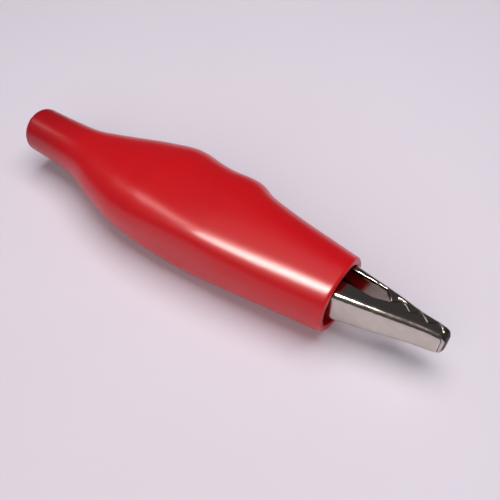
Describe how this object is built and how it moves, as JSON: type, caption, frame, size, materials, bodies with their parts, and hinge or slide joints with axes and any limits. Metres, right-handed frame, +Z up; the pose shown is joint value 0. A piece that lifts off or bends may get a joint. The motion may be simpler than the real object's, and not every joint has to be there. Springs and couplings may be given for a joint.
{
  "type": "insulated crocodile clip",
  "caption": "Small spring clip with two toothed steel jaws, a screw terminal for a wire and a soft red boot over its levers.",
  "frame": {"origin": "under the middle of the clip, which lies on the flat side of its boot", "axes": "+X from the cable end to the nose, +Y from the moving jaw to the fixed jaw, +Z up along the rivet"},
  "size_m": [0.055, 0.0148, 0.0094],
  "materials": {
    "nickel_plate": "nickel plate on pressed steel sheet",
    "boot_pvc": "soft red PVC, dip moulded, semi-gloss",
    "rivet_steel": "nickel plated, headed cold",
    "screw_brass": "nickel plated brass",
    "spring_wire": "drawn music wire"
  },
  "bodies": {
    "root": {"fixed_jaw": "nickel_plate", "insulating_boot": "boot_pvc", "pivot_rivet": "rivet_steel", "jaw_spring": "spring_wire"},
    "moving_jaw": {"moving_jaw": "nickel_plate"},
    "terminal_screw": {"terminal_screw": "screw_brass"}
  },
  "joints": [
    {"name": "jaw_hinge", "type": "hinge", "parent": "root", "child": "moving_jaw", "pos_m": [0.0035, -0.0001, 0.0047], "axis": [0, 0, -1], "range_deg": [0, 19], "stiffness_Nm_per_rad": 0.16, "springref_deg": -34.38, "deforming": ["jaw_spring", "insulating_boot"]},
    {"name": "terminal_screw_slide", "type": "slide", "parent": "root", "child": "terminal_screw", "axis": [0, 1, 0], "range_m": [0, 0.001]}
  ]
}
